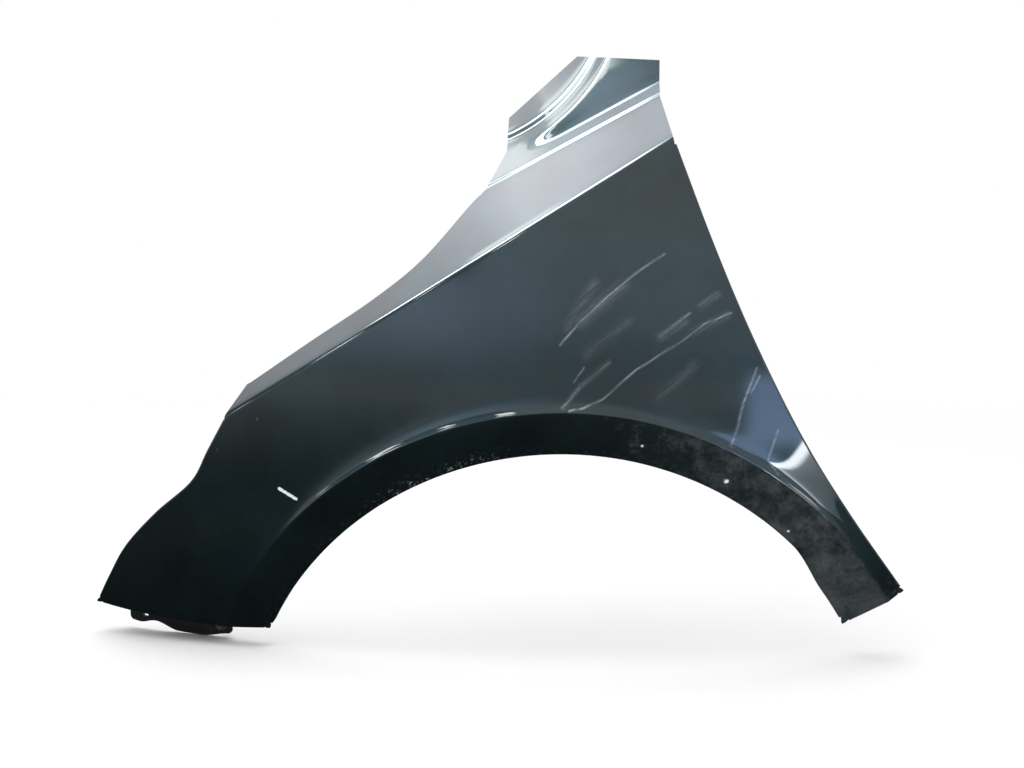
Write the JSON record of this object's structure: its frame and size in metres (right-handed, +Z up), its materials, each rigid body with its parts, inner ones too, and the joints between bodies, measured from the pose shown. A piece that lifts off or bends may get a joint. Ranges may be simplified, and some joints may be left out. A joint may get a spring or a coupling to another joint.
{
  "type": "car fender",
  "caption": "Pressed steel front fender for a hatchback's left side, with a flared wheel arch, folded flanges with slotted tabs, and a bumper rail bolted under its front corner.",
  "frame": {"origin": "on the outer face of the middle bonnet-rail tab, beside its slot", "axes": "+X rearward along the car, +Y inboard towards the car's middle, +Z up"},
  "size_m": [0.9106, 0.1627, 0.6596],
  "materials": {
    "petrol_paint": "dark petrol metallic under clear coat, scratched",
    "black_rail": "satin black",
    "zinc_plate": "bright zinc plate"
  },
  "bodies": {
    "root": {"fender_panel": "petrol_paint", "bumper_rail": "black_rail", "rail_bolt": "zinc_plate", "rail_nut": "zinc_plate"}
  },
  "joints": []
}
